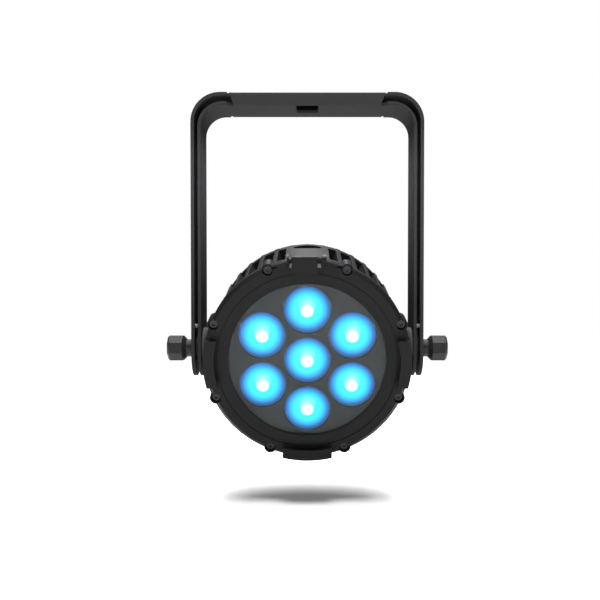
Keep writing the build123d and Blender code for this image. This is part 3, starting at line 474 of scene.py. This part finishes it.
dome_across = np.linspace(0.0, lens_radius - lens_edge, dome_rings)
dome_face = lens_face - lens_dome * (dome_across / lens_radius) ** 2
lens_profile = np.vstack([
    np.column_stack([dome_across, dome_face]),
    arc((lens_radius - lens_edge, dome_face[-1] - lens_edge), lens_edge, 90.0, 0.0),
    [(lens_radius, lens_face - lens_rim), (lens_radius - lens_step, lens_face - lens_rim)],
    [(lens_throat, lens_back), (0.0, lens_back)],
])
corners, faces = gather([turned(lens_profile, centre, spoke_count) for centre in lens_centres])

# The lit pattern, in lens radii: how far above the lens's centre each part of it lies, and the
# distances over which the core and the halo fade. Specks break up the halo's edge.
core_rise = -0.035
core_fade = (0.225, 0.300)
halo_rise = 0.20
halo_fade = (0.18, 0.50)
halo_narrowing = 1.05
halo_weight = 0.95
halo_specks = 0.16
glow_rise = 0.045

lit = Paint("lit_lens")
face_map = lit.place("UV")
face_x = lit.along(face_map, 0)
face_y = lit.along(face_map, 1)


def distance_from(rise, narrowing=1.0):
    """Distance over the lens face from the point that lies a rise above its centre."""
    up = face_y - rise
    return (face_x * face_x * narrowing + up * up) ** 0.5


core = lit.spread(distance_from(core_rise), 1.0, 0.0, *core_fade)
speckle = lit.noise(9.0, 2.0, face_map)
halo_distance = distance_from(halo_rise, halo_narrowing) + speckle * halo_specks
halo = lit.spread(halo_distance, halo_weight, 0.0, *halo_fade)
glow = lit.node(
    "ShaderNodeValToRGB",
    {"stops": [
        (0.00, rgb(0.050, 0.92, 0.95)),
        (0.56, rgb(0.045, 0.92, 0.97)),
        (0.645, rgb(0.035, 0.80, 0.98)),
        (0.72, rgb(0.030, 0.61, 0.97)),
        (0.80, rgb(0.025, 0.36, 0.85)),
        (0.87, rgb(0.020, 0.20, 0.60)),
        (0.93, rgb(0.018, 0.10, 0.34)),
        (1.00, rgb(0.015, 0.035, 0.12)),
    ]},
    {0: distance_from(glow_rise)},
)
lit_colour = lit.mix(glow, rgb(0.42, 1.0, 1.0), halo)
lit_colour = lit.mix(lit_colour, rgb(1.0, 1.0, 1.0), core)
lit.surface(
    Base_Color=rgb(0.01, 0.03, 0.05),
    Emission_Color=lit_colour,
    Emission_Strength=1.0,
    Roughness=lit.spread(speckle, 0.10, 0.16),
    Specular_IOR_Level=0.06,
)
lenses = recalculate(mesh_piece("lit_lenses", on_head(corners), faces.tolist(), lit.material))


def flat_map(piece, centres, size):
    """UV map of each corner's distance from its nearest centre, across and up, over a size."""
    mesh = piece.data
    places = np.empty(len(mesh.vertices) * 3)
    mesh.vertices.foreach_get("co", places)
    local = ((places.reshape(-1, 3) - pivot) @ head_axes.T)[:, :2]
    nearest = np.argmin(((local[:, None] - centres) ** 2).sum(-1), axis=1)
    flat = (local - centres[nearest]) / size
    index = np.empty(len(mesh.loops), np.int32)
    mesh.loops.foreach_get("vertex_index", index)
    layer = mesh.uv_layers.new(name="face")
    layer.data.foreach_set("uv", flat[index].ravel())


flat_map(lenses, lens_centres, lens_radius)
attach(lenses, "lenses")


# ---------------------------------------------------------------- lens mask
# Dark grey satin plate that fills the space between the lenses. It is punched from sheet,
# dropped over the lens rims and held by the glass seal. Both rubber seals are dressed here.

small_edge = 0.0002

mask_paint = Paint("grey_mask")
mask_grain = mask_paint.noise(3200.0, 2.0)
mask_paint.surface(
    Base_Color=mask_paint.mix(
        rgb(0.026, 0.026, 0.026), rgb(0.031, 0.031, 0.031), mask_paint.noise(70.0, 3.0),
    ),
    Roughness=mask_paint.spread(mask_grain, 0.50, 0.60),
    Specular_IOR_Level=0.05,
    Normal=mask_paint.bump(mask_grain, 0.00002, 0.5),
)
finished("lens_mask", small_edge, mask_paint.material)
dress("glass_gasket", black_rubber)
dress("bezel_gasket", black_rubber)


# ---------------------------------------------------------------- housing
# Cast aluminium drum of lengthwise ribs between a flange and a ring, in satin black paint.
# The side bosses hold brass inserts for the clamping studs.

cast_edge = 0.00045


def painted_casting(name, dark, light, rough, relief=0.00006, shine=0.065):
    """Satin paint over a casting: a slight orange peel, cast mottling and dull patches."""
    paint = Paint(name)
    peel = paint.noise(1500.0, 2.0)
    cast = paint.noise(260.0, 4.0)
    cloud = paint.noise(30.0, 3.0)
    paint.surface(
        Base_Color=paint.mix(rgb(*dark), rgb(*light), cloud * 0.6 + peel * 0.4),
        Roughness=paint.spread(cloud * 0.5 + peel * 0.5, rough - 0.07, rough + 0.09),
        Specular_IOR_Level=shine,
        Normal=paint.bump(peel * 0.5 + cast * 0.5, relief, 0.8),
    )
    return paint.material


casting = painted_casting("black_casting", (0.007, 0.007, 0.0075), (0.014, 0.014, 0.015), 0.38)
for node in ("front_flange", "drum_ribs", "top_pad", "side_bosses", "rear_ring"):
    finished(node, cast_edge, casting)


def plated(name, dark, light, rough):
    """Plated or machined metal with fine turning marks and cloudy dulling."""
    paint = Paint(name)
    marks = paint.noise(5200.0, 2.0)
    cloud = paint.noise(120.0, 4.0)
    paint.surface(
        Base_Color=paint.mix(rgb(*dark), rgb(*light), cloud),
        Metallic=1.0,
        Roughness=paint.spread(marks * 0.5 + cloud * 0.5, rough - 0.08, rough + 0.10),
        Normal=paint.bump(marks, 0.00002, 0.5),
    )
    return paint.material


brass = plated("brass", (0.52, 0.36, 0.14), (0.68, 0.50, 0.22), 0.30)
zinc = plated("zinc_plate", (0.38, 0.38, 0.40), (0.55, 0.55, 0.57), 0.32)
dress("trunnions", brass)


# ---------------------------------------------------------------- bezel and glass
# Cast front ring in the housing's black paint, drawn darker as painted shade, screwed to the housing through eight
# ears.
# The clear glass lies on its seal in the ring's pocket.

bezel_edge = 0.00035
glass_edge = 0.0004
screw_edge = 0.00025

# A darker copy of the housing's paint: the extra darkness is painted shade on the ring that faces forward.
shaded_bezel_paint = painted_casting("shaded_bezel_paint", (0.005, 0.005, 0.0053), (0.010, 0.010, 0.0106), 0.34, 0.00004)
finished("bezel", bezel_edge, shaded_bezel_paint)

glass = Paint("clear_glass")
gloss = glass.node("ShaderNodeBsdfGlossy", None, {"Color": rgb(0.9, 0.97, 1.0), "Roughness": 0.03})
clear = glass.node("ShaderNodeBsdfTransparent", None, {"Color": rgb(0.97, 0.985, 0.99)})
mirroring = glass.spread(glass.node("ShaderNodeFresnel", None, {"IOR": 1.38}), 0.004, 0.08)
glass.finish(glass.node("ShaderNodeMixShader", None, {0: mirroring, 1: clear, 2: gloss}))
finished("front_glass", glass_edge, glass.material)

blackened = plated("blackened_steel", (0.018, 0.018, 0.019), (0.040, 0.040, 0.042), 0.45)
finished("bezel_screws", screw_edge, blackened)


# ---------------------------------------------------------------- accessory clips and latch
# Three cast clips screwed to the bezel from behind hold an accessory frame; a sprung flap on
# a painted pin closes the top of the slot.

clip_edge = 0.0013
latch_edge = 0.0005
spring_wire = 0.0004
spring_turns = 3.5
spring_steps = 110
wire_sides = 10
wire_lean = (0.31, 0.42, 0.85)

# The clips and the latch take the housing's black paint drawn darker still, as painted shade, and a little
# glossier.
shaded_clip_paint = painted_casting(
    "shaded_clip_paint", (0.003, 0.003, 0.0033), (0.006, 0.006, 0.0066), 0.30, relief=0.00003, shine=0.09,
)
for clip in ("left_clip", "right_clip", "bottom_clip"):
    finished(clip, clip_edge, shaded_clip_paint, segments=4)
dress("clip_screws", blackened)
finished("latch", latch_edge, shaded_clip_paint, segments=3)
dress("latch_pin", casting)

spring_low, spring_high = head_extent("latch_spring")
spring_centre = (spring_low[1:] + spring_high[1:]) / 2.0
spring_coil = (spring_high[1] - spring_low[1]) / 2.0 - spring_wire


def wire(name, path, radius, paint, sides):
    """Round wire along a path, as a closed piece: at each point of the path a circle square to its
    direction, begun at that direction's cross product with one fixed lean; flat caps at the ends."""
    path = np.asarray(path, float)
    along = np.gradient(path, axis=0)
    along /= np.linalg.norm(along, axis=1)[:, None]
    guide = np.cross(along, wire_lean)
    guide /= np.linalg.norm(guide, axis=1)[:, None]
    other = np.cross(along, guide)
    angle = np.linspace(0.0, 2.0 * pi, sides, endpoint=False)
    ring = guide[:, None] * np.cos(angle)[:, None] + other[:, None] * np.sin(angle)[:, None]
    corners = (path[:, None] + radius * ring).reshape(-1, 3)
    last = len(corners) - sides
    caps = [list(range(sides)), list(range(last, last + sides))]
    return recalculate(mesh_piece(name, corners, ring_faces(len(path), sides).tolist() + caps, paint))


turn_angle = np.linspace(0.0, 2.0 * pi * spring_turns, spring_steps)
spring_path = on_head(np.column_stack([
    np.linspace(spring_low[0] + spring_wire, spring_high[0] - spring_wire, spring_steps),
    spring_centre[0] + spring_coil * np.cos(turn_angle),
    spring_centre[1] + spring_coil * np.sin(turn_angle),
]))
attach(wire("latch_spring_wire", spring_path, spring_wire, casting, wire_sides), "latch_spring")


# ---------------------------------------------------------------- rear compartment
# A blackened steel plate closes the drum and carries the power supply; a cast cup with a
# screwed rim covers them on a rubber gasket.

cover_edge = 0.0006

finished("chassis_plate", sheet_edge, blackened)
dress("power_supply", zinc)
dress("rear_gasket", black_rubber)
finished("rear_cover", cover_edge, casting)
finished("rear_panel", sheet_edge, casting)
finished("rear_screws", sheet_edge, blackened)


# ---------------------------------------------------------------- control panel
# Display and four rubber keys on a small green circuit board, which stands on brass pillars
# behind the rear cover's floor. A dark blue window is pressed into the floor over the display.

board_green = Paint("green_board")
board_green.surface(
    Base_Color=board_green.mix(rgb(0.01, 0.09, 0.03), rgb(0.02, 0.15, 0.05), board_green.noise(500.0)),
    Roughness=board_green.spread(board_green.noise(1800.0), 0.25, 0.4),
)
dress("control_board", board_green.material)
dress("board_pillars", brass)
dress("display_module", black_plastic)

window = Paint("display_window")
window_grain = window.noise(2600.0, 2.0)
window.surface(
    Base_Color=window.mix(rgb(0.010, 0.020, 0.060), rgb(0.016, 0.030, 0.085), window.noise(90.0)),
    Roughness=window.spread(window_grain, 0.06, 0.12),
    Coat_Weight=0.5,
)
finished("display_window", small_edge, window.material)

key_rubber = moulded("key_rubber", (0.13, 0.13, 0.14), (0.17, 0.17, 0.18), 0.62)
for key in ("menu", "up", "down", "enter"):
    finished(key + "_button", sheet_edge, key_rubber)


# ---------------------------------------------------------------- sockets and vent
# Flanged plastic sockets screwed to the rear cover's floor, blue for mains in, grey for mains
# out and black for the signal, and a plug with a membrane that lets the housing breathe.

blue_plastic = moulded("blue_plastic", (0.012, 0.050, 0.24), (0.018, 0.070, 0.30), 0.40)
pale_plastic = moulded("pale_plastic", (0.26, 0.26, 0.26), (0.32, 0.32, 0.32), 0.42)
finished("power_inlet", sheet_edge, blue_plastic)
finished("power_outlet", sheet_edge, pale_plastic)
finished("data_inlet", sheet_edge, black_plastic)
finished("data_outlet", sheet_edge, black_plastic)
dress("inlet_pins", brass)
finished("outlet_blocks", small_edge, black_plastic)
finished("socket_screws", small_edge, blackened)
finished("vent_plug", sheet_edge, black_plastic)


# ---------------------------------------------------------------- yokes
# Two steel strips bent into nested U shapes and powder coated matt black. The outer one takes
# the clamp bolt; the inner one swings back off it through its open slot, to stand on a floor.
# The folded eye for the safety cable, screwed to the rear cover, wears the same coat.

strip_edge = 0.0007
eye_edge = 0.0005
# Heights, down from the mounting face, between which the painted sheen comes in and fades out again:
# a clear coat on the upper arms only, standing in for the overhead light that falls on them.
painted_sheen_start = -0.030
painted_sheen_full = -0.060
painted_sheen_fading = -0.080
painted_sheen_gone = -0.185
painted_sheen_weight = 0.9


def powder_coat(name, dark, light, rough):
    """Fine-textured powder coat: tiny even bumps, a faint cloudiness, and a clear coat laid on by
    height alone, a painted sheen that makes the upper arms look lit."""
    paint = Paint(name)
    texture = paint.noise(1900.0, 3.0, roughness=0.6)
    cloud = paint.noise(22.0, 3.0)
    height = paint.along(paint.place(), 2)
    painted_sheen_in = paint.spread(height, 0.0, painted_sheen_weight, painted_sheen_start, painted_sheen_full)
    painted_sheen_out = paint.spread(height, 1.0, 0.0, painted_sheen_fading, painted_sheen_gone)
    paint.surface(
        Base_Color=paint.mix(rgb(*dark), rgb(*light), cloud * 0.5 + texture * 0.5),
        Roughness=paint.spread(texture * 0.5 + cloud * 0.5, rough - 0.06, rough + 0.08),
        Specular_IOR_Level=0.004,
        # The coat follows height alone: a painted sheen for the light on the upper arms.
        Coat_Weight=painted_sheen_in * painted_sheen_out,
        Coat_Roughness=0.35,
        Normal=paint.bump(texture, 0.00007, 0.8),
    )
    return paint.material


yoke_paint = powder_coat("yoke_powder_coat", (0.018, 0.018, 0.0185), (0.028, 0.028, 0.029), 0.46)
finished("outer_yoke", strip_edge, yoke_paint)
finished("inner_yoke", strip_edge, yoke_paint)
finished("safety_eye", eye_edge, yoke_paint)
finished("safety_screws", small_edge, blackened)


# ---------------------------------------------------------------- pivot hardware
# On each side: nylon glide pin, spacer ring between the arms, friction disc, black washer,
# and a moulded eight-sided knob on a steel stud that clamps the arms to the head.

disc_edge = 0.0004
knob_edge = 0.0005

nylon = moulded("dark_nylon", (0.10, 0.10, 0.10), (0.14, 0.14, 0.135), 0.5)
dress("glide_pins", nylon)
fibre = moulded("friction_fibre", (0.020, 0.019, 0.018), (0.034, 0.032, 0.030), 0.70, 0.00008)
finished("friction_discs", disc_edge, fibre)
finished("yoke_spacers", sheet_edge, black_plastic)
finished("washers", small_edge, black_plastic)
for side in ("left", "right"):
    finished(side + "_knob", knob_edge, black_plastic)
    dress(side + "_knob_stud", zinc)
